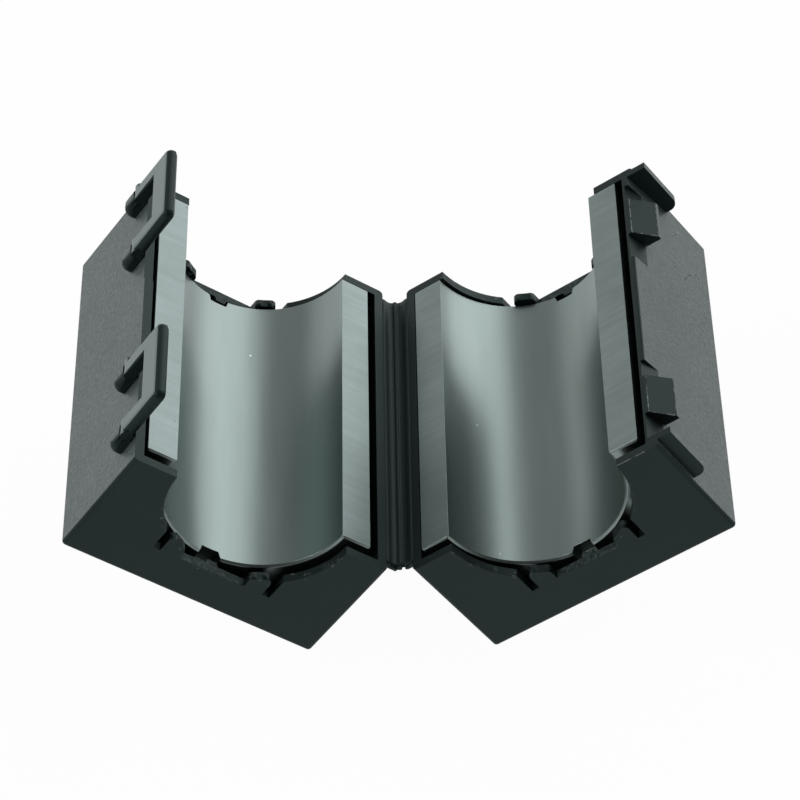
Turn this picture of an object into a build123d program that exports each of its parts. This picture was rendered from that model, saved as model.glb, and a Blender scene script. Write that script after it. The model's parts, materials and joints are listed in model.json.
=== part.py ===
"""Clip-on ferrite core, standing open on the lower edges of its two halves.

The two plastic halves hang on a web moulded between them. Each holds half of a ferrite block, and two loops on
the latch half snap over two catches on the catch half. Sizes are in millimetres. The origin is under the middle
of the part, on the surface it stands on: X runs across the halves, Y along the cable and Z up.
"""
import os
from math import cos, radians, sin

from build123d import *

os.makedirs("parts", exist_ok=True)

# Case
case_width = 38.0
half_depth = 18.75
case_length = 53.9
wall = 1.35
catch_wall = 1.75
end_wall = 1.3
floor = 1.3
edge_radius = 0.6
opening_angle = 110.0

# Web between the halves
hinge_offset = 1.95
rim_drop = 0.15
web_inset = 1.4
web_thickness = 0.45
web_valley = 0.35
fold_radius = 0.32
fold_gap = 0.1

# Ferrite, with its play in the case and the place where it has slid to
bore_diameter = 25.0
side_clearance = 0.65
end_clearance = 0.7
bore_chamfer = 0.3
end_chamfer = 0.2
ferrite_corner = 2.0
mating_gap = 0.06
seat_gap = 0.05
latch_ferrite_shift = 0.4
catch_ferrite_shift = -0.65
ferrite_shift_along = 0.65
notch_mouth = 3.2
notch_width = 2.5
notch_length = 1.25
notch_depth = 1.7

# Cable openings in the end walls, with a flexible tongue at the bottom of each
opening_step = 0.25
lobe_step = 0.5
lobe_corner = 0.7
flat_width = 9.8
flat_step = 0.1
slot_width = 1.15
slot_pitch = 16.55
slot_step = 0.2
tab_width = 1.8
tab_tip_width = 1.4
tab_thickness = 0.8
tab_reach = 0.7

# Catches and guards on the catch half
latch_inset = 9.7
catch_shift = 0.3
catch_length = 6.8
catch_reach = 1.6
catch_start = 0.9
catch_land_top = 2.95
catch_face = 3.55
wall_lean = 0.85
pocket_length = 14.4
pocket_shift = -0.6
pocket_start = 1.4
pocket_end = 0.55
pocket_depth = 2.95
guard_inset = 0.75
guard_shift = 0.35
guard_width = 1.05
guard_height = 2.0
guard_depth = 8.8
guard_corner = 1.4

# Latch loops on the latch half
loop_shift = 0.95
window_clearance = 0.8
face_clearance = 0.45
loop_gap = 0.25
loop_thickness = 1.6
arm_width = 2.65
crossbar_height = 3.95
loop_rounding = 1.0
loop_corner = 1.05
window_rounding = 0.3
lead_in = 0.4
flex_level = 0.6
root_level = 1.2
root_end = 4.4
root_corner = 1.3
flex_clearance = 0.08
rim_step = 0.2
rim_step_start = 7.0

tilt = radians((180 - opening_angle) / 2)
hinge_height = (half_depth - edge_radius) * cos(tilt) + edge_radius - (hinge_offset + edge_radius) * sin(tilt)
outer_wall = hinge_offset + case_width
middle = hinge_offset + case_width / 2
bore_radius = bore_diameter / 2
opening_radius = bore_radius + opening_step
lobe_radius = bore_radius - lobe_step
flat_depth = bore_radius + flat_step
slot_depth = bore_radius + slot_step
ferrite_width = case_width - wall - catch_wall - 2 * side_clearance
ferrite_length = case_length - 2 * (end_wall + end_clearance)
latch_pitch = case_length - 2 * latch_inset
floor_level = half_depth - floor
ferrite_top = mating_gap / 2
ferrite_bottom = floor_level - seat_gap
window_width = catch_length + 2 * window_clearance
loop_length = window_width + 2 * arm_width
window_top = catch_face + face_clearance
loop_top = window_top + crossbar_height
flex_line = outer_wall + loop_gap + loop_thickness / 2
arm_spacing = loop_length - arm_width
guard_inner = case_length / 2 - guard_inset - guard_width


def half_frame(side):
    """Plane of a half's parting face: x away from the hinge, z out of the open half. side is -1 left, +1 right."""
    across_dir = (side * cos(tilt), 0, sin(tilt))
    out_dir = (-side * sin(tilt), 0, cos(tilt))
    return Plane(origin=(0, 0, hinge_height), x_dir=across_dir, z_dir=out_dir)


def section(half, along=0.0):
    """Plane square to the cable: x away from the hinge, y out of the open half."""
    return Plane(origin=half.from_local_coords(Vector(0, along, 0)), x_dir=half.x_dir, z_dir=-half.y_dir)


def outside(half, away):
    """Plane facing away from the hinge, at that distance from it: x along the cable, y out of the open half."""
    return Plane(origin=half.from_local_coords(Vector(away, 0, 0)), x_dir=half.y_dir, z_dir=half.x_dir)


def along_axis(half):
    return Axis(half.origin, half.y_dir)


def moulded_half(half, outer_thickness):
    """Open box with cable openings, slots and tabs in its end walls. outer_thickness is of the wall off the hinge."""
    cavity_width = case_width - wall - outer_thickness
    with BuildPart() as box:
        with BuildSketch(section(half)):
            with Locations((middle, -(half_depth + rim_drop) / 2)):
                Rectangle(case_width, half_depth - rim_drop)
        extrude(amount=case_length / 2, both=True)
        levels = box.edges().group_by(Axis(half.origin, half.z_dir))
        fillet(levels[0] + levels[1], radius=edge_radius)

        with BuildSketch(half.offset(-floor_level)):
            with Locations((hinge_offset + wall + cavity_width / 2, 0)):
                Rectangle(cavity_width, case_length - 2 * end_wall)
        extrude(amount=half_depth, mode=Mode.SUBTRACT)

        with BuildSketch(section(half)) as opening:
            with Locations((middle, 0)):
                Circle(opening_radius)
                Rectangle(slot_pitch, 2 * half_depth, mode=Mode.SUBTRACT)
                Circle(lobe_radius)
                Rectangle(flat_width, 2 * flat_depth)
                with GridLocations(slot_pitch, 0, 2, 1):
                    Rectangle(slot_width, 2 * slot_depth)
            lobes = opening.vertices().filter_by(lambda v: is_lobe_corner(v))
            fillet(lobes, radius=lobe_corner)
        extrude(amount=case_length, both=True, mode=Mode.SUBTRACT)

        for end in (-1, 1):
            base = end * case_length / 2
            with BuildSketch(half.offset(-flat_depth)):
                with BuildLine():
                    Polyline(
                        (middle - tab_width / 2, base),
                        (middle - tab_width / 2, base - end * end_wall),
                        (middle - tab_tip_width / 2, base - end * (end_wall + tab_reach)),
                        (middle + tab_tip_width / 2, base - end * (end_wall + tab_reach)),
                        (middle + tab_width / 2, base - end * end_wall),
                        (middle + tab_width / 2, base),
                        close=True,
                    )
                make_face()
            extrude(amount=-tab_thickness)
    return box.part


def is_lobe_corner(vertex):
    """Corners where a lobe meets the flat beside it or its slot."""
    from_middle = Vector(vertex.X - middle, vertex.Y, 0)
    return abs(from_middle.length - lobe_radius) < 0.01 and vertex.Y < 0


def web_leaf(half, inner):
    """Thin strip from the hinge side of a half towards the fold, starting inner millimetres from the fold."""
    under = web_valley + web_thickness
    with BuildPart() as leaf:
        with BuildSketch(section(half)):
            with BuildLine():
                Polyline(
                    (inner, -min(inner, web_valley)),
                    (web_valley + inner, -web_valley),
                    (hinge_offset - 0.7, -web_valley),
                    (hinge_offset - 0.5, -rim_drop),
                    (hinge_offset + wall, -rim_drop),
                    (hinge_offset + wall, -under),
                    (inner + 0.2, -under),
                    close=True,
                )
            make_face()
        extrude(amount=case_length / 2 - web_inset, both=True)
    return leaf.part


def ferrite_half(half, shift):
    """Half a ferrite block with its half bore, chamfered at the ends and notched for the tabs."""
    centre = middle + shift
    start = ferrite_shift_along * half.y_dir.Y
    depth = ferrite_bottom - ferrite_top
    with BuildPart() as core:
        with BuildSketch(section(half, start)) as block:
            with Locations((centre, -ferrite_top - depth / 2)):
                Rectangle(ferrite_width, depth)
            chamfer(block.vertices().group_by(Axis.Y)[0], length=ferrite_corner)
            with Locations((centre, 0)):
                Circle(bore_radius, mode=Mode.SUBTRACT)
        extrude(amount=ferrite_length / 2, both=True)
        ends = core.faces().group_by(along_axis(half))
        rims = ends[0].edges() + ends[-1].edges()
        chamfer(rims.filter_by(GeomType.LINE), length=end_chamfer)
        arcs = core.edges().filter_by(GeomType.CIRCLE)
        chamfer(arcs.group_by(along_axis(half))[0] + arcs.group_by(along_axis(half))[-1], length=bore_chamfer)

        for end in (-1, 1):
            tip = start + end * ferrite_length / 2
            bottom = tip - end * notch_length
            with BuildSketch(half.offset(-bore_radius - notch_depth)):
                with BuildLine():
                    Polyline(
                        (centre - notch_mouth / 2, tip + end),
                        (centre - notch_mouth / 2, tip),
                        (centre - notch_width / 2, bottom),
                        (centre + notch_width / 2, bottom),
                        (centre + notch_mouth / 2, tip),
                        (centre + notch_mouth / 2, tip + end),
                        close=True,
                    )
                make_face()
            extrude(amount=2 * notch_depth, mode=Mode.SUBTRACT)
    return core.part


def latch_loop(half, along):
    """Loop that stands along the latch wall and reaches past the parting face. Its feet turn about the flex line."""
    out_axis = Axis(half.origin, half.z_dir)
    with BuildPart() as loop:
        with BuildSketch(outside(half, outer_wall + loop_gap)) as outline:
            with Locations((along, (loop_top - flex_level) / 2)):
                Rectangle(loop_length, loop_top + flex_level)
            fillet(outline.vertices().group_by(Axis.Y)[-1], radius=loop_corner)
            with Locations((along, window_top - half_depth / 2)):
                Rectangle(window_width, half_depth, mode=Mode.SUBTRACT)
        extrude(amount=loop_thickness)
        by_distance = loop.faces().filter_by(Axis(half.origin, half.x_dir)).sort_by(Axis(half.origin, half.x_dir))
        chamfer(by_distance[0].edges().group_by(out_axis)[-1], length=lead_in)
        above_feet = [edge for edge in by_distance[-1].edges() if half.to_local_coords(edge.center()).Z > 0]
        around = [edge for edge in above_feet if not borders_window(half, along, edge)]
        inside = [edge for edge in above_feet if borders_window(half, along, edge)]
        fillet(around, radius=loop_rounding)
        fillet(inside, radius=window_rounding)

        with BuildSketch(section(half, along)):
            with Locations((flex_line, -flex_level)):
                Circle(loop_thickness / 2)
        extrude(amount=loop_length / 2, both=True)
        with BuildSketch(outside(half, flex_line)):
            with Locations((along, -flex_level)):
                Rectangle(window_width, 2 * loop_thickness)
        extrude(amount=loop_thickness, both=True, mode=Mode.SUBTRACT)
    return loop.part


def borders_window(half, along, edge):
    """Edges of a loop's outer face that run round its window."""
    place = half.to_local_coords(edge.center())
    return abs(place.Y - along) < window_width / 2 + window_clearance and place.Z < window_top + window_clearance


def latch_root(half, along):
    """Rib on the latch wall below one arm of a loop, hollowed where the arm's foot turns."""
    reach = loop_gap + loop_thickness
    with BuildPart() as root:
        with BuildSketch(section(half, along)) as profile:
            with Locations((outer_wall + (reach - wall / 2) / 2, -(root_level + root_end) / 2)):
                Rectangle(reach + wall / 2, root_end - root_level)
            fillet(profile.vertices().group_by(Axis.Y)[0].sort_by(Axis.X)[-1], radius=root_corner)
            with Locations((flex_line, -flex_level)):
                Circle(loop_thickness / 2 + flex_clearance, mode=Mode.SUBTRACT)
        extrude(amount=arm_width / 2, both=True)
        outer_face = root.faces().sort_by(Axis(half.origin, half.x_dir))[-1]
        fillet(outer_face.edges().filter_by(Axis(half.origin, half.z_dir)), radius=loop_rounding)
    return root.part


def catch_wedge(half, along):
    """Wedge that a loop's crossbar rides over: a ramp from the rim, a narrow land and a face square to the wall."""
    with BuildPart() as wedge:
        with BuildSketch(section(half, along)):
            with BuildLine():
                Polyline(
                    (outer_wall - catch_wall / 2 - pocket_start / 2, -rim_drop),
                    (outer_wall - catch_start, -rim_drop),
                    (outer_wall + catch_reach, -catch_land_top),
                    (outer_wall + catch_reach, -catch_face),
                    (outer_wall - catch_start, -catch_face),
                    (outer_wall - catch_wall / 2 - pocket_start / 2, -rim_drop - wall),
                    close=True,
                )
            make_face()
        extrude(amount=catch_length / 2, both=True)
    return wedge.part


def wall_cut(half, along, length, top, bottom, depth):
    """Tool that shaves the outer face of the catch wall: top deep at the rim, bottom deep at depth below the rim."""
    with BuildPart() as tool:
        with BuildSketch(section(half, along)):
            with BuildLine():
                Polyline(
                    (outer_wall - top, -rim_drop),
                    (outer_wall - bottom, -rim_drop - depth),
                    (outer_wall + wall, -rim_drop - depth),
                    (outer_wall + wall, wall),
                    (outer_wall - top, wall),
                    close=True,
                )
            make_face()
        extrude(amount=length / 2, both=True)
    return tool.part


def guard_rib(half, end):
    """Rib at one end of the catch wall that keeps a loop from being knocked off sideways."""
    inner_side = end * guard_inner + guard_shift
    with BuildPart() as rib:
        with BuildSketch(section(half, inner_side)) as profile:
            with Locations((outer_wall + (guard_height - wall) / 2, -(guard_depth + rim_drop) / 2)):
                Rectangle(guard_height + wall, guard_depth - rim_drop)
            fillet(profile.vertices().group_by(Axis.Y)[0].sort_by(Axis.X)[-1], radius=guard_corner)
        extrude(amount=-end * guard_width)
    return rib.part


left = half_frame(-1)
right = half_frame(1)
far_place = left.y_dir.Y * (latch_pitch / 2 + loop_shift)
near_place = left.y_dir.Y * (-latch_pitch / 2 + loop_shift)
root_places = [place + arm for place in (far_place, near_place) for arm in (-arm_spacing / 2, arm_spacing / 2)]
catch_places = (-latch_pitch / 2 + catch_shift, latch_pitch / 2 + catch_shift)
pocket_places = (-latch_pitch / 2 + pocket_shift, latch_pitch / 2 + pocket_shift)

left_box = moulded_half(left, wall)
left_leaf = web_leaf(left, 0.0)
roots = [latch_root(left, place) for place in root_places]
with BuildPart() as latch_case:
    add(left_box)
    add(left_leaf)
    with BuildSketch(section(left)):
        Circle(fold_radius)
    extrude(amount=case_length / 2 - web_inset, both=True)
    add(roots)
    with BuildSketch(left.offset(-rim_drop)):
        with Locations((outer_wall - wall / 2, left.y_dir.Y * (rim_step_start + case_length / 4))):
            Rectangle(wall, case_length / 2)
    extrude(amount=-rim_step, mode=Mode.SUBTRACT)
latch_case.part.label = "latch_case"

right_box = moulded_half(right, catch_wall)
right_leaf = web_leaf(right, fold_radius + fold_gap)
lean = wall_cut(right, guard_shift, 2 * guard_inner, wall_lean, 0, guard_depth)
pockets = [wall_cut(right, place, pocket_length, pocket_start, pocket_end, pocket_depth) for place in pocket_places]
wedges = [catch_wedge(right, place) for place in catch_places]
ribs = [guard_rib(right, end) for end in (-1, 1)]
with BuildPart() as catch_case:
    add(right_box)
    add(right_leaf)
    add(lean, mode=Mode.SUBTRACT)
    add(pockets, mode=Mode.SUBTRACT)
    add(wedges)
    add(ribs)
catch_case.part.label = "catch_case"

left_core = ferrite_half(left, latch_ferrite_shift)
with BuildPart() as latch_ferrite:
    add(left_core)
latch_ferrite.part.label = "latch_ferrite"

right_core = ferrite_half(right, catch_ferrite_shift)
with BuildPart() as catch_ferrite:
    add(right_core)
catch_ferrite.part.label = "catch_ferrite"

far_body = latch_loop(left, far_place)
with BuildPart() as far_loop:
    add(far_body)
far_loop.part.label = "far_loop"

near_body = latch_loop(left, near_place)
with BuildPart() as near_loop:
    add(near_body)
near_loop.part.label = "near_loop"

for piece in (latch_case, catch_case, latch_ferrite, catch_ferrite, far_loop, near_loop):
    export_step(piece.part, f"parts/{piece.part.label}.step")
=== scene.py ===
"""Finishes of the clip-on ferrite core: moulded nylon, ground and fired ferrite, with camera and soft light.

Lengths in metres are written as millimetres times mm. A place on a half is (away, along, out): away from the
hinge line, along the cable and out of the open half.
"""
import json
import math

import bmesh
import bpy
from mathutils import Matrix, Vector, noise


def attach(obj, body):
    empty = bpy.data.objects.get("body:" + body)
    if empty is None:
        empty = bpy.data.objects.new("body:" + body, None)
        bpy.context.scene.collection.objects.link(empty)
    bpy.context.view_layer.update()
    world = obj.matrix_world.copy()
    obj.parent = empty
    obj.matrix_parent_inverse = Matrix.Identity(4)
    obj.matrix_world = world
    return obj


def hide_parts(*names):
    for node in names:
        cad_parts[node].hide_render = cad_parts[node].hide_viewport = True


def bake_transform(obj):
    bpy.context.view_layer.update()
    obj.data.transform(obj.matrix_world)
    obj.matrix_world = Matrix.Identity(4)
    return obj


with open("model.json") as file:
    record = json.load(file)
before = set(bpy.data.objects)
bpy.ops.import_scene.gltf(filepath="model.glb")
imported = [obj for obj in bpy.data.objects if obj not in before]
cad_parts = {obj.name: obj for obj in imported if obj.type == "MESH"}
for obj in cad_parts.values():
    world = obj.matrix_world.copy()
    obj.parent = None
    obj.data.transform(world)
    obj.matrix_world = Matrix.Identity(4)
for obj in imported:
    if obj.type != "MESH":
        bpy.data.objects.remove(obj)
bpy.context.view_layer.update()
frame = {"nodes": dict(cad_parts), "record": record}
mm = 0.001

# The case and its two bores, as the part's source has them
opening_angle = 110.0
tilt = math.radians((180 - opening_angle) / 2)
hinge = Vector(frame["record"]["behaviour"]["joints"][0]["pos_m"])
bore_centre = 20.95 * mm
bore_radius = 12.5 * mm
latch_bore = 21.35 * mm
catch_bore = 20.30 * mm

# The grained outside of a half: its outer wall with the pockets in it, its hinge wall and its back
outer_wall_from = 38.35 * mm
hinge_wall_to = 2.1 * mm
back_from = -18.5 * mm

# The flat at the bottom of each cable opening, where the gate was broken off
gate_along = 25.6 * mm
gate_half_width = 2.5 * mm
gate_low = -12.65 * mm
gate_high = -12.5 * mm

# How deep the ground parting strips of the ferrite may lie, and how far a facet may be off the true bore
ground_depth = 2 * mm
bore_tolerance = 0.1 * mm

# Cosines of the angle by which a face may look aside: square on, leaning walls, outside of loops, corners
square_on = 0.97
leaning_wall = 0.975
loop_outside = 0.9
round_corner = 0.7

# Broken edges of every piece, and the rounder long corners of the case. Angles are in radians
merge_distance = 0.002 * mm
flat_angle = math.radians(1)
sharp_angle = math.radians(32)
small_round = 0.16 * mm
long_corner = 15 * mm
long_corner_angle = 1.0
long_corner_round = 0.4 * mm

# Ridges of flash and scratches: length of a step, depth of the foot, and how the height wavers along the way
ridge_step = 0.25 * mm
ridge_foot = 0.02 * mm
waver_mean = 0.5
waver_swing = 2.2
waver_per_mm = 1.3

# Catches in mm: their middles along the wall, and the places (away, out) of their upper and lower edges
catch_middles = (17.55, -16.95)
catch_half_length = 3.4
catch_upper = (39.1, -0.15)
catch_lower = (41.5, -2.9)

# Near end wall of the catch half in mm: the stretch of its rim that keeps a line of flash
rim_along = -26.93
rim_out = -0.12
rim_stretch = (33.4, 38.0)

# Scratches in mm on the outer wall of the catch half: how far away it is, and their points (along, out)
wall_level = 39.97
scratches = [
    [(15.6, -9.2), (14.3, -9.6), (13.8, -11.0), (14.3, -11.8), (16.3, -13.0), (18.2, -15.0), (18.4, -17.1)],
    [(21.4, -9.5), (24.1, -12.0)],
]

# Web in mm: half its section (across, height), outwards from the fold line, and the height and size of its
# ripples across and along. In metres: its reach, its thickness and the half width of its fold
web_section = [(0, 0.345), (0.1, 0.31), (0.22, 0.2), (0.45, 0.17), (0.8, 0.27), (1.2, 0.6), (1.4, 0.84),
               (1.72, 1.03)]
ripple_height = 0.02
ripple_across = 1 / 3
ripple_along = 4
web_steps = 60
web_reach = 25.5 * mm
web_thickness = 0.05 * mm

# Sky: sines of the heights where its white wall ends and where it is full, and how bright the ceiling is
wall_end = 0.30
wall_full = 0.06
ceiling_strength = 0.10

# Glows of the sky: where each lies, the cosines where it starts and where it is full, and its strength
sky_glows = [
    ((0.62, 0.68, 0.39), 0.67, 0.965, 2.2),
    ((-0.14, 0.75, 0.62), 0.62, 0.95, 0.52),
    ((-0.70, 0.70, 0.15), 0.92, 0.985, 1.1),
]

# Floor: its width in metres, and how much of plain white the camera sees instead of its shading
floor_size = 3.0
plain_white_share = 0.97

# Cool cast of the daylight, painted into the sheen of the smooth and the torn nylon
painted_daylight_cast = "#c4fffa"

# Camera, worked out from the corners of the two halves in the photograph
picture_size = 800
focal_pixels = 3525.7
sensor_width = 36.0
camera_place = Vector((2.82, -340.77, 347.92)) * mm
camera_right = Vector((0.99965, -0.01441, -0.02202))
camera_down = Vector((-0.02586, -0.69344, -0.72005))
camera_forward = Vector((-0.00490, 0.72037, -0.69358))


def on_half(side, away, along, out):
    """Point of a place on a half. side is -1 for the latch half and 1 for the catch half."""
    across = away * math.cos(tilt) - out * math.sin(tilt)
    up = away * math.sin(tilt) + out * math.cos(tilt)
    return hinge + Vector((side * across, along, up))


def half_place(side, point):
    """Place (away, along, out) of a point: the opposite of on_half."""
    across = side * (point.x - hinge.x)
    up = point.z - hinge.z
    away = across * math.cos(tilt) + up * math.sin(tilt)
    out = up * math.cos(tilt) - across * math.sin(tilt)
    return away, point.y, out


def linear(hex_colour):
    """Linear colour of an sRGB hex value."""
    values = [int(hex_colour[i:i + 2], 16) / 255 for i in (1, 3, 5)]
    return [v / 12.92 if v <= 0.04045 else ((v + 0.055) / 1.055) ** 2.4 for v in values] + [1.0]


def add_node(tree, kind, settings=None, links=None):
    """Adds a node with its settings (attributes, or values of inputs) and links to its inputs."""
    node = tree.nodes.new(kind)
    for name, value in (settings or {}).items():
        if isinstance(name, str) and hasattr(node, name):
            setattr(node, name, value)
        else:
            node.inputs[name].default_value = value
    for name, socket in (links or {}).items():
        tree.links.new(node.inputs[name], socket)
    return node


def new_material(name, **values):
    """Material with these values on its surface shader. Returns material, node tree and shader."""
    material = bpy.data.materials.new(name)
    material.use_nodes = True
    surface = material.node_tree.nodes["Principled BSDF"]
    for socket, value in values.items():
        surface.inputs[socket.replace("_", " ")].default_value = value
    return material, material.node_tree, surface


def scattered_dots(tree, place, spacing, share, size):
    """Dots in a share of the cells of a given spacing. size is a dot's radius as a part of the spacing."""
    cells = add_node(tree, "ShaderNodeTexVoronoi", {"Scale": 1 / spacing}, {"Vector": place})
    chosen = add_node(tree, "ShaderNodeMath", {"operation": "LESS_THAN", 1: share},
                      {0: cells.outputs["Color"]})
    dot = add_node(tree, "ShaderNodeMapRange", {"From Min": size, "From Max": size / 2},
                   {"Value": cells.outputs["Distance"]})
    return add_node(tree, "ShaderNodeMath", {"operation": "MULTIPLY"},
                    {0: chosen.outputs[0], 1: dot.outputs["Result"]}).outputs[0]


def textured_nylon():
    """Black nylon moulded against a spark-eroded tool: an even grain that catches the light like dust."""
    # Its specular tint paints the cool cast of the daylight into the sheen
    material, tree, surface = new_material("textured_nylon", IOR=1.53, Specular_Tint=linear("#dbf5f2"))
    place = add_node(tree, "ShaderNodeTexCoord").outputs["Object"]
    # The real grain is about 0.1 mm wide. It is drawn 0.5 mm wide, so that it shows
    grain = add_node(tree, "ShaderNodeTexNoise", {"Scale": 1 / (0.5 * mm), "Detail": 1.0, "Roughness": 0.6},
                     {"Vector": place}).outputs["Fac"]
    # Wear comes and goes over about 7 mm
    patches = add_node(tree, "ShaderNodeTexNoise", {"Scale": 1 / (7 * mm), "Detail": 3.0, "Roughness": 0.5},
                       {"Vector": place}).outputs["Fac"]
    dust = add_node(tree, "ShaderNodeMix", {"data_type": "FLOAT", 0: 0.22}, {2: grain, 3: patches})
    spread = add_node(tree, "ShaderNodeMapRange", {"From Min": 0.34, "From Max": 0.68},
                      {"Value": dust.outputs[0]})
    colour = add_node(tree, "ShaderNodeMix",
                      {"data_type": "RGBA", 6: linear("#373f3f"), 7: linear("#4f5a59")},
                      {0: spread.outputs["Result"]})
    rough = add_node(tree, "ShaderNodeMapRange",
                     {"From Min": 0.3, "From Max": 0.7, "To Min": 0.32, "To Max": 0.6}, {"Value": grain})
    bump = add_node(tree, "ShaderNodeBump", {"Strength": 1.0, "Distance": 0.08 * mm}, {"Height": grain})
    tree.links.new(surface.inputs["Base Color"], colour.outputs[2])
    tree.links.new(surface.inputs["Roughness"], rough.outputs["Result"])
    tree.links.new(surface.inputs["Normal"], bump.outputs["Normal"])
    return material


def opening_scuffs(tree, place):
    """Small torn flecks round the cable openings, up to 0.9 mm outside the radius of the bore."""
    # The two halves mirror each other, so the distance from either bore's axis is taken on one side
    parts = add_node(tree, "ShaderNodeSeparateXYZ", None, {0: place})
    across = add_node(tree, "ShaderNodeMath", {"operation": "ABSOLUTE"}, {0: parts.outputs["X"]})
    level = add_node(tree, "ShaderNodeCombineXYZ", None, {"X": across.outputs[0], "Z": parts.outputs["Z"]})
    axis = on_half(1, bore_centre, 0, 0)
    off_axis = add_node(tree, "ShaderNodeVectorMath", {"operation": "DISTANCE", 1: (axis.x, 0, axis.z)},
                        {0: level.outputs[0]})
    rim = add_node(tree, "ShaderNodeMapRange",
                   {"From Min": bore_radius + 0.9 * mm, "From Max": bore_radius + 0.5 * mm},
                   {"Value": off_axis.outputs["Value"]})
    flecks = add_node(tree, "ShaderNodeTexNoise", {"Scale": 1 / (0.9 * mm), "Detail": 5.0, "Roughness": 0.8},
                      {"Vector": place})
    torn = add_node(tree, "ShaderNodeMapRange", {"From Min": 0.58, "From Max": 0.74},
                    {"Value": flecks.outputs["Fac"]})
    return add_node(tree, "ShaderNodeMath", {"operation": "MULTIPLY"},
                    {0: rim.outputs["Result"], 1: torn.outputs["Result"]}).outputs[0]


def smooth_nylon():
    """The same nylon, moulded against a polished tool: darker and calm, with torn flecks at the openings."""
    # The specular tint paints the cool cast of the daylight into the sheen
    material, tree, surface = new_material("smooth_nylon", IOR=1.53, Specular_IOR_Level=0.23,
                                           Specular_Tint=linear(painted_daylight_cast))
    place = add_node(tree, "ShaderNodeTexCoord").outputs["Object"]
    cloud = add_node(tree, "ShaderNodeTexNoise", {"Scale": 1 / (7 * mm), "Detail": 4.0}, {"Vector": place})
    colour = add_node(tree, "ShaderNodeMix",
                      {"data_type": "RGBA", 6: linear("#070a0a"), 7: linear("#131919")},
                      {0: cloud.outputs["Fac"]})
    worn = add_node(tree, "ShaderNodeMix", {"data_type": "RGBA", 7: linear("#7c8484")},
                    {0: opening_scuffs(tree, place), 6: colour.outputs[2]})
    grain = add_node(tree, "ShaderNodeTexNoise", {"Scale": 1 / (0.3 * mm), "Detail": 3.0}, {"Vector": place})
    rough = add_node(tree, "ShaderNodeMapRange", {"To Min": 0.4, "To Max": 0.56},
                     {"Value": grain.outputs["Fac"]})
    bump = add_node(tree, "ShaderNodeBump", {"Strength": 0.2, "Distance": 0.03 * mm},
                    {"Height": grain.outputs["Fac"]})
    tree.links.new(surface.inputs["Base Color"], worn.outputs[2])
    tree.links.new(surface.inputs["Roughness"], rough.outputs["Result"])
    tree.links.new(surface.inputs["Normal"], bump.outputs["Normal"])
    return material


def painted_light_nylon():
    """The same nylon on the outside of a loop: its pale colour is painted light, standing in for the light
    this face catches, with a broad highlight.
    """
    # The specular tint paints the cool cast of the daylight into the sheen
    material, tree, surface = new_material("painted_light_nylon", IOR=1.53, Specular_IOR_Level=1.0,
                                           Specular_Tint=linear("#d4f6f2"))
    place = add_node(tree, "ShaderNodeTexCoord").outputs["Object"]
    grain = add_node(tree, "ShaderNodeTexNoise", {"Scale": 1 / (0.4 * mm), "Detail": 4.0, "Roughness": 0.7},
                     {"Vector": place}).outputs["Fac"]
    # Painted light: the pale grey stands in for the light that falls on the outside of the loop
    colour = add_node(tree, "ShaderNodeMix",
                      {"data_type": "RGBA", 6: linear("#2b3333"), 7: linear("#6d7877")}, {0: grain})
    rough = add_node(tree, "ShaderNodeMapRange",
                     {"From Min": 0.3, "From Max": 0.7, "To Min": 0.3, "To Max": 0.5}, {"Value": grain})
    bump = add_node(tree, "ShaderNodeBump", {"Strength": 0.4, "Distance": 0.04 * mm}, {"Height": grain})
    tree.links.new(surface.inputs["Base Color"], colour.outputs[2])
    tree.links.new(surface.inputs["Roughness"], rough.outputs["Result"])
    tree.links.new(surface.inputs["Normal"], bump.outputs["Normal"])
    return material


def torn_nylon(name, dark, pale):
    """Torn or scraped nylon, as in flash, scratches and gate marks: a dull, broken, whitened grey."""
    # The specular tint paints the cool cast of the daylight into the sheen
    material, tree, surface = new_material(name, IOR=1.53, Roughness=0.6, Specular_IOR_Level=0.25,
                                           Specular_Tint=linear(painted_daylight_cast))
    place = add_node(tree, "ShaderNodeTexCoord").outputs["Object"]
    tears = add_node(tree, "ShaderNodeTexNoise", {"Scale": 1 / (0.6 * mm), "Detail": 4.0, "Roughness": 0.7},
                     {"Vector": place})
    spread = add_node(tree, "ShaderNodeMapRange", {"From Min": 0.42, "From Max": 0.68},
                      {"Value": tears.outputs["Fac"]})
    colour = add_node(tree, "ShaderNodeMix", {"data_type": "RGBA", 6: linear(dark), 7: linear(pale)},
                      {0: spread.outputs["Result"]})
    tree.links.new(surface.inputs["Base Color"], colour.outputs[2])
    return material


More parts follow.
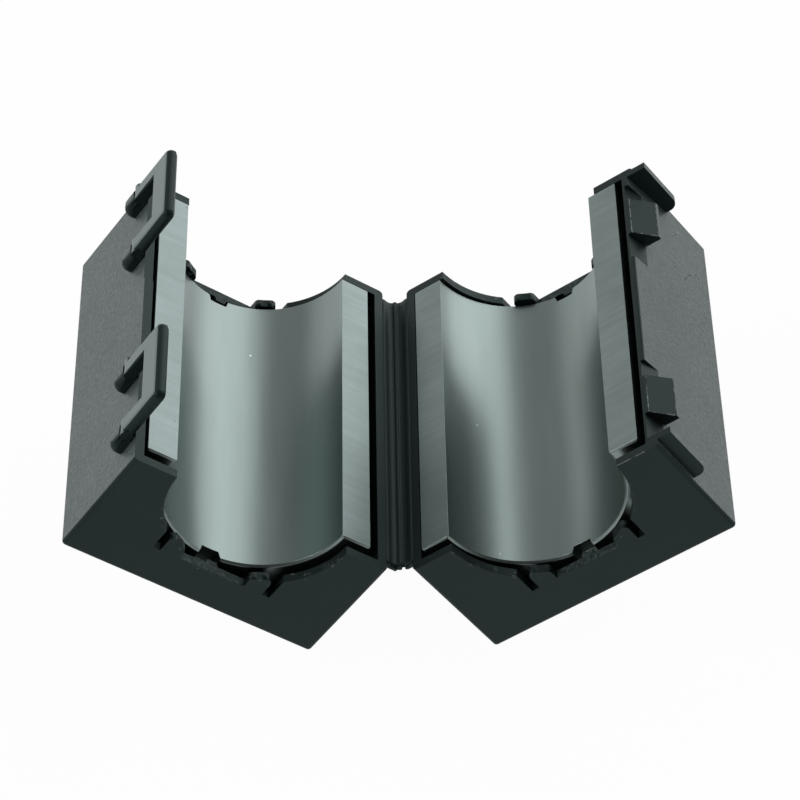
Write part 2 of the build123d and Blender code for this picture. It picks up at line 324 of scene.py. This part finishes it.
def ground_ferrite():
    """Manganese-zinc ferrite, ground flat to mate: satin grey with faint grinding marks and nicks."""
    material, tree, surface = new_material("ground_ferrite", Metallic=0.9, Roughness=0.36)
    place = add_node(tree, "ShaderNodeTexCoord").outputs["Object"]
    # Grinding marks lie slantwise across the strips. Each is about 8 mm long and 0.8 mm wide
    slant = add_node(tree, "ShaderNodeMapping",
                     {"Rotation": (0.0, 0.0, math.radians(-38)), "Scale": (1.0, 10.0, 1.0)},
                     {"Vector": place})
    marks = add_node(tree, "ShaderNodeTexNoise", {"Scale": 1 / (8 * mm), "Detail": 4.0},
                     {"Vector": slant.outputs[0]}).outputs["Fac"]
    smudge = add_node(tree, "ShaderNodeTexNoise", {"Scale": 1 / (6 * mm), "Detail": 5.0, "Roughness": 0.6},
                      {"Vector": place}).outputs["Fac"]
    tone = add_node(tree, "ShaderNodeMix", {"data_type": "FLOAT", 0: 0.5}, {2: marks, 3: smudge})
    spread = add_node(tree, "ShaderNodeMapRange", {"From Min": 0.35, "From Max": 0.65},
                      {"Value": tone.outputs[0]})
    colour = add_node(tree, "ShaderNodeMix",
                      {"data_type": "RGBA", 6: linear("#6f7b79"), 7: linear("#7b8786")},
                      {0: spread.outputs["Result"]})
    nicks = scattered_dots(tree, place, spacing=2.2 * mm, share=0.25, size=0.08)
    nicked = add_node(tree, "ShaderNodeMix", {"data_type": "RGBA", 7: linear("#566160")},
                      {0: nicks, 6: colour.outputs[2]})
    bump = add_node(tree, "ShaderNodeBump", {"Strength": 0.05, "Distance": 0.02 * mm}, {"Height": marks})
    tree.links.new(surface.inputs["Base Color"], nicked.outputs[2])
    tree.links.new(surface.inputs["Normal"], bump.outputs["Normal"])
    return material


def fired_ferrite():
    """Manganese-zinc ferrite as fired: dark satin grey, faintly streaked along the bore, with specks."""
    material, tree, surface = new_material("fired_ferrite", Metallic=1.0, Roughness=0.35)
    place = add_node(tree, "ShaderNodeTexCoord").outputs["Object"]
    # A streak is about 2.5 mm wide and eight times as long
    drawn = add_node(tree, "ShaderNodeMapping", {"Scale": (1.0, 0.12, 1.0)}, {"Vector": place})
    streaks = add_node(tree, "ShaderNodeTexNoise", {"Scale": 1 / (2.5 * mm), "Detail": 4.0},
                       {"Vector": drawn.outputs[0]}).outputs["Fac"]
    colour = add_node(tree, "ShaderNodeMix",
                      {"data_type": "RGBA", 6: linear("#76827f"), 7: linear("#84908e")}, {0: streaks})
    specks = scattered_dots(tree, place, spacing=2.6 * mm, share=0.22, size=0.06)
    dotted = add_node(tree, "ShaderNodeMix", {"data_type": "RGBA", 7: linear("#e4ecea")},
                      {0: specks, 6: colour.outputs[2]})
    bump = add_node(tree, "ShaderNodeBump", {"Strength": 0.06, "Distance": 0.02 * mm}, {"Height": streaks})
    tree.links.new(surface.inputs["Base Color"], dotted.outputs[2])
    tree.links.new(surface.inputs["Normal"], bump.outputs["Normal"])
    return material


def case_finish(face):
    """Finish of a face of a case half: 0 grained outside, 1 smooth, 2 torn where the gate was broken off."""
    side = math.copysign(1, face.calc_center_median().x)
    away, along, out = half_place(side, face.calc_center_median())
    toward = half_place(side, hinge + face.normal)
    outer_wall = away > outer_wall_from and toward[0] > leaning_wall
    hinge_wall = away < hinge_wall_to and toward[0] < -round_corner
    back = out < back_from and toward[2] < -round_corner
    if outer_wall or hinge_wall or back:
        return 0
    by_gate = abs(along) > gate_along and abs(away - bore_centre) < gate_half_width
    on_flat = gate_low < out < gate_high and toward[2] > square_on
    return 2 if by_gate and on_flat else 1


def loop_finish(face):
    """Finish of a face of a loop: 0 for the outside that fingers press, painted pale for the light it
    catches, 1 for every other face.
    """
    return 0 if half_place(-1, hinge + face.normal)[0] > loop_outside else 1


def ferrite_finish(face):
    """Finish of a face of a ferrite half: 0 for its ground parting strips, 1 for the faces left as fired."""
    side = math.copysign(1, face.calc_center_median().x)
    out = half_place(side, face.calc_center_median())[2]
    faces_out = half_place(side, hinge + face.normal)[2]
    return 0 if faces_out > square_on and out > -ground_depth else 1


def new_piece(name, shape, materials):
    """Smooth shaded object from a bmesh, with its materials."""
    mesh = bpy.data.meshes.new(name)
    shape.to_mesh(mesh)
    shape.free()
    mesh.shade_smooth()
    for material in materials:
        mesh.materials.append(material)
    piece = bpy.data.objects.new(name, mesh)
    bpy.context.scene.collection.objects.link(piece)
    return piece


def round_long_corners(shape):
    """Rounds the long corners of a case half, which are softer than its other edges. They get finish 1."""
    corners = []
    for line in shape.edges:
        if line.calc_length() > long_corner and line.calc_face_angle_signed() > long_corner_angle:
            corners.append(line)
    bmesh.ops.bevel(shape, geom=corners, offset=long_corner_round, segments=3, profile=0.5, affect="EDGES",
                    clamp_overlap=True, material=1)


def broken_edges(node, materials, finish, soft_corners=False):
    """Copy of a node's solid, its sharp edges broken by a small round. finish picks a face's material."""
    shape = bmesh.new()
    shape.from_mesh(frame["nodes"][node].data)
    bmesh.ops.remove_doubles(shape, verts=shape.verts, dist=merge_distance)
    bmesh.ops.dissolve_limit(shape, angle_limit=flat_angle, verts=shape.verts, edges=shape.edges)
    for face in shape.faces:
        face.material_index = finish(face)
    if soft_corners:
        round_long_corners(shape)
    piece = new_piece(node + "_shape", shape, materials)
    rounding = piece.modifiers.new("edges", "BEVEL")
    rounding.width = small_round
    rounding.segments = 2
    rounding.limit_method = "ANGLE"
    rounding.angle_limit = sharp_angle
    shading = piece.modifiers.new("shading", "WEIGHTED_NORMAL")
    shading.keep_sharp = True
    return piece


def fair_bore(piece, side, centre):
    """Applies a ferrite half's modifiers, and gives the facets of its bore the normals of the true round."""
    now = bpy.context.evaluated_depsgraph_get()
    mesh = bpy.data.meshes.new_from_object(piece.evaluated_get(now))
    piece.modifiers.clear()
    piece.data = mesh
    normals = [Vector(corner.vector) for corner in mesh.corner_normals]
    for facet in mesh.polygons:
        away, along, out = half_place(side, facet.center)
        inward = on_half(side, centre - away, 0, -out) - hinge
        on_bore = abs(inward.length - bore_radius) < bore_tolerance
        if not on_bore or facet.normal.dot(inward.normalized()) < square_on:
            continue
        for corner in facet.loop_indices:
            away, along, out = half_place(side, mesh.vertices[mesh.loops[corner].vertex_index].co)
            normals[corner] = (on_half(side, centre - away, 0, -out) - hinge).normalized()
    mesh.normals_split_custom_set(normals)


def ridge_track(side, points):
    """Evenly spaced places along a line of points on a half, which are in mm."""
    ends = [on_half(side, *(value * mm for value in point)) for point in points]
    track = []
    for start, end in zip(ends, ends[1:]):
        steps = max(1, round((end - start).length / ridge_step))
        track += [start.lerp(end, step / steps) for step in range(steps)]
    return track + [ends[-1]]


def ridges(name, side, lines, material):
    """Thin uneven ridges on a half. A line has its points, the way it stands, its width and height in mm."""
    shape = bmesh.new()
    for points, stands, width, height in lines:
        up = (on_half(side, *stands) - hinge).normalized()
        track = ridge_track(side, points)
        rows = []
        for i, place in enumerate(track):
            course = track[min(i + 1, len(track) - 1)] - track[max(i - 1, 0)]
            aside = course.normalized().cross(up).normalized() * width * mm / 2
            waver = waver_mean + waver_swing * noise.noise(place / mm * waver_per_mm)
            top = place + up * height * mm * max(0.0, waver)
            foot = place - up * ridge_foot
            rows.append([shape.verts.new(point) for point in (foot - aside, top, foot + aside)])
        for before, after in zip(rows, rows[1:]):
            shape.faces.new((before[0], before[1], after[1], after[0]))
            shape.faces.new((before[1], before[2], after[2], after[1]))
    return new_piece(name, shape, [material])


def catch_flash(material):
    """Flash along three edges of each catch, and along a stretch of the near end wall's rim."""
    lines = []
    for middle in catch_middles:
        near, far = middle - catch_half_length, middle + catch_half_length
        upper_near, upper_far = [(catch_upper[0], along, catch_upper[1]) for along in (near, far)]
        lower_near, lower_far = [(catch_lower[0], along, catch_lower[1]) for along in (near, far)]
        lines.append(([upper_near, upper_far], (0.3, 0, 0.95), 0.14, 0.07))
        lines.append(([upper_near, lower_near], (0.6, -0.5, 0.6), 0.14, 0.08))
        lines.append(([lower_near, lower_far], (0.9, 0, 0.5), 0.10, 0.04))
    rim = [(away, rim_along, rim_out) for away in rim_stretch]
    lines.append((rim, (0, -0.4, 0.9), 0.10, 0.06))
    return ridges("catch_flash", 1, lines, material)


def wall_scratches(material):
    """Raised burrs of the scratches on the outer wall of the catch half."""
    lines = []
    for scratch in scratches:
        points = [(wall_level, along, out) for along, out in scratch]
        lines.append((points, (1, 0, 0), 0.24, 0.02))
    return ridges("wall_scratches", 1, lines, material)


def web_skin(material):
    """Thin web over the fold: it follows both leaves and rises to a low ridge along the fold line."""
    section = [(-across, height) for across, height in reversed(web_section[1:])] + web_section
    shape = bmesh.new()
    rows = []
    for step in range(web_steps + 1):
        along = web_reach * (2 * step / web_steps - 1)
        row = []
        for across, height in section:
            spot = Vector((across / ripple_across, along / mm / ripple_along, 0))
            ripple = ripple_height * noise.noise(spot)
            place = Vector((across * mm, along, (height + ripple) * mm))
            row.append(shape.verts.new(place + Vector((hinge.x, 0, hinge.z))))
        rows.append(row)
    for before, after in zip(rows, rows[1:]):
        for i in range(len(section) - 1):
            shape.faces.new((before[i], before[i + 1], after[i + 1], after[i]))
    piece = new_piece("web_skin", shape, [material])
    thick = piece.modifiers.new("thickness", "SOLIDIFY")
    thick.thickness = web_thickness
    thick.offset = -1
    return piece


def set_camera():
    """Camera that stands where the photograph was taken from."""
    data = bpy.data.cameras.new("camera")
    data.sensor_width = sensor_width
    data.lens = focal_pixels * sensor_width / picture_size
    data.clip_start = 0.01
    camera = bpy.data.objects.new("camera", data)
    turn = Matrix((camera_right, -camera_down, -camera_forward)).transposed()
    camera.matrix_world = Matrix.LocRotScale(camera_place, turn.to_quaternion(), None)
    bpy.context.scene.collection.objects.link(camera)
    bpy.context.scene.camera = camera


def area_lamp(name, place, aim, size, power):
    """Square lamp at a place, turned to face its aim. Lengths are in metres and the power is in watts."""
    data = bpy.data.lights.new(name, "AREA")
    data.size = size
    data.energy = power
    lamp = bpy.data.objects.new(name, data)
    lamp.location = place
    lamp.rotation_euler = (Vector(aim) - Vector(place)).to_track_quat("-Z", "Y").to_euler()
    bpy.context.scene.collection.objects.link(lamp)


def studio_sky():
    """White wall round the studio that fades upwards to a dim ceiling, with the glows of sky_glows on it."""
    world = bpy.data.worlds.new("studio_sky")
    bpy.context.scene.world = world
    world.use_nodes = True
    tree = world.node_tree
    direction = add_node(tree, "ShaderNodeTexCoord").outputs["Generated"]
    height = add_node(tree, "ShaderNodeSeparateXYZ", None, {0: direction}).outputs["Z"]
    light = add_node(tree, "ShaderNodeMapRange",
                     {"interpolation_type": "SMOOTHSTEP", "From Min": wall_end, "From Max": wall_full,
                      "To Min": ceiling_strength, "To Max": 1.0}, {"Value": height}).outputs["Result"]
    for aim, starts, full, strength in sky_glows:
        facing = add_node(tree, "ShaderNodeVectorMath",
                          {"operation": "DOT_PRODUCT", 1: Vector(aim).normalized()}, {0: direction})
        glow = add_node(tree, "ShaderNodeMapRange",
                        {"interpolation_type": "SMOOTHSTEP", "From Min": starts, "From Max": full,
                         "To Min": 0.0, "To Max": strength}, {"Value": facing.outputs["Value"]})
        light = add_node(tree, "ShaderNodeMath", {"operation": "MAXIMUM"},
                         {0: light, 1: glow.outputs[0]}).outputs[0]
    tree.links.new(tree.nodes["Background"].inputs["Strength"], light)
    tree.nodes["Background"].inputs["Color"].default_value = (1, 1, 1, 1)


def studio_floor():
    """Matt white floor. The camera, gloss and glass see it as nearly plain white, with a trace of shadow."""
    material, tree, surface = new_material("white_floor", Base_Color=linear("#f2f4f4"), Roughness=0.9,
                                           Specular_IOR_Level=0.0)
    white = add_node(tree, "ShaderNodeEmission", {"Color": (1, 1, 1, 1), "Strength": 1.0})
    path = add_node(tree, "ShaderNodeLightPath")
    mirrored = add_node(tree, "ShaderNodeMath", {"operation": "MAXIMUM"},
                        {0: path.outputs["Is Camera Ray"], 1: path.outputs["Is Glossy Ray"]})
    seen = add_node(tree, "ShaderNodeMath", {"operation": "MAXIMUM"},
                    {0: mirrored.outputs[0], 1: path.outputs["Is Transmission Ray"]})
    share = add_node(tree, "ShaderNodeMath", {"operation": "MULTIPLY", 1: plain_white_share},
                     {0: seen.outputs[0]})
    blend = add_node(tree, "ShaderNodeMixShader", None,
                     {0: share.outputs[0], 1: surface.outputs[0], 2: white.outputs[0]})
    tree.links.new(tree.nodes["Material Output"].inputs["Surface"], blend.outputs[0])
    bpy.ops.mesh.primitive_plane_add(size=floor_size)
    floor = bpy.context.object
    floor.name = "floor"
    floor.data.materials.append(material)


grained = textured_nylon()
smooth = smooth_nylon()
# Nylon for the outside of the loops, painted pale for the light it catches
lit_outside = painted_light_nylon()
scraped = torn_nylon("scraped_nylon", "#232929", "#a2acab")
broken_gate = torn_nylon("broken_gate_nylon", "#0f1414", "#434b4a")
ground = ground_ferrite()
fired = fired_ferrite()

for node, body in (("latch_case", "latch_half"), ("catch_case", "catch_half")):
    piece = broken_edges(node, [grained, smooth, broken_gate], case_finish, soft_corners=True)
    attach(piece, body)
    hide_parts(node)

for node, body in (("far_loop", "far_latch"), ("near_loop", "near_latch")):
    piece = broken_edges(node, [lit_outside, smooth], loop_finish)
    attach(piece, body)
    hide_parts(node)

for node, body, side, centre in (("latch_ferrite", "latch_half", -1, latch_bore),
                                 ("catch_ferrite", "catch_half", 1, catch_bore)):
    piece = broken_edges(node, [ground, fired], ferrite_finish)
    fair_bore(piece, side, centre)
    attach(piece, body)
    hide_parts(node)

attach(catch_flash(scraped), "catch_half")
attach(wall_scratches(scraped), "catch_half")

skin = web_skin(smooth)
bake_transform(skin)

set_camera()
studio_sky()
studio_floor()
area_lamp("side_fill", place=(-0.75, -0.1, 0.65), aim=(0, 0, 0.02), size=0.5, power=4.0)
bpy.context.scene.view_settings.view_transform = "Standard"
